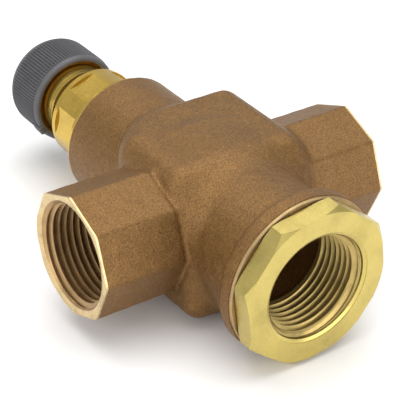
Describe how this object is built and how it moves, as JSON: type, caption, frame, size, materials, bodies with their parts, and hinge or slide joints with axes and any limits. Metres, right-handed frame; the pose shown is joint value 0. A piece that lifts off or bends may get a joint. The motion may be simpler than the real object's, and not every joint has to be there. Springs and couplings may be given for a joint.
{
  "type": "three way valve",
  "caption": "Three way mixing valve with a cast bronze body, threaded run and branch ports, a spring-returned lift plug and a screw-down hand cap on its bonnet.",
  "frame": {"origin": "centre of the underside of the valve's box as it lies on its side, stem axis level", "axes": "+X along the run from port A to port AB, +Y along the stem axis from port B to the hand cap, +Z out of the flat pad on the body"},
  "size_m": [0.1, 0.1494, 0.0508],
  "materials": {
    "cast_bronze": "sand cast and blasted, fine grain, matt",
    "machined_brass": "turned and milled, bright satin",
    "stainless_steel": "ground",
    "spring_steel": "drawn wire",
    "fibre_gasket": "compressed fibre, matt",
    "black_rubber": "moulded rubber",
    "ptfe": "white low friction plastic",
    "grey_plastic": "moulded, fine axial ribs, matt"
  },
  "bodies": {
    "root": {"valve_body": "cast_bronze", "port_b_insert": "machined_brass", "insert_gasket": "fibre_gasket", "lower_seat_ring": "cast_bronze", "seat_ring_gasket": "fibre_gasket", "bonnet": "machined_brass", "bonnet_gasket": "fibre_gasket", "stem_guide_bush": "ptfe", "stem_o_ring_lower": "black_rubber", "o_ring_spacer": "ptfe", "stem_o_ring_upper": "black_rubber", "packing_gland": "machined_brass", "stem_wiper_ring": "black_rubber", "spring_washer": "stainless_steel", "return_spring": "spring_steel"},
    "stem": {"stem": "stainless_steel", "plug_disc": "machined_brass", "upper_plug_seal": "black_rubber", "lower_plug_seal": "black_rubber", "plug_washer": "stainless_steel", "plug_clamp_washer": "stainless_steel", "plug_nut": "stainless_steel", "spring_retainer": "stainless_steel", "stem_clip": "spring_steel", "stem_button": "stainless_steel"},
    "cap_carrier": {"cap_thrust_pad": "stainless_steel"},
    "hand_cap": {"cap_shell": "grey_plastic", "cap_thread_insert": "machined_brass", "pad_snap_ring": "spring_steel"}
  },
  "joints": [
    {"name": "cap_travel", "type": "slide", "parent": "root", "child": "cap_carrier", "axis": [0, -1, 0], "range_m": [0, 0.0065]},
    {"name": "cap_spin", "type": "hinge", "parent": "cap_carrier", "child": "hand_cap", "pos_m": [0, 0.0646, 0.0254], "axis": [0, -1, 0], "range_deg": [0, 1560.1]},
    {"name": "stem_lift", "type": "slide", "parent": "root", "child": "stem", "axis": [0, -1, 0], "range_m": [0, 0.00651], "deforming": ["return_spring"]}
  ],
  "couplings": [
    {"joint": "cap_spin", "follows": "cap_travel", "rad_per_m": 4188.8},
    {"joint": "stem_lift", "follows": "cap_travel", "ratio": 1}
  ]
}
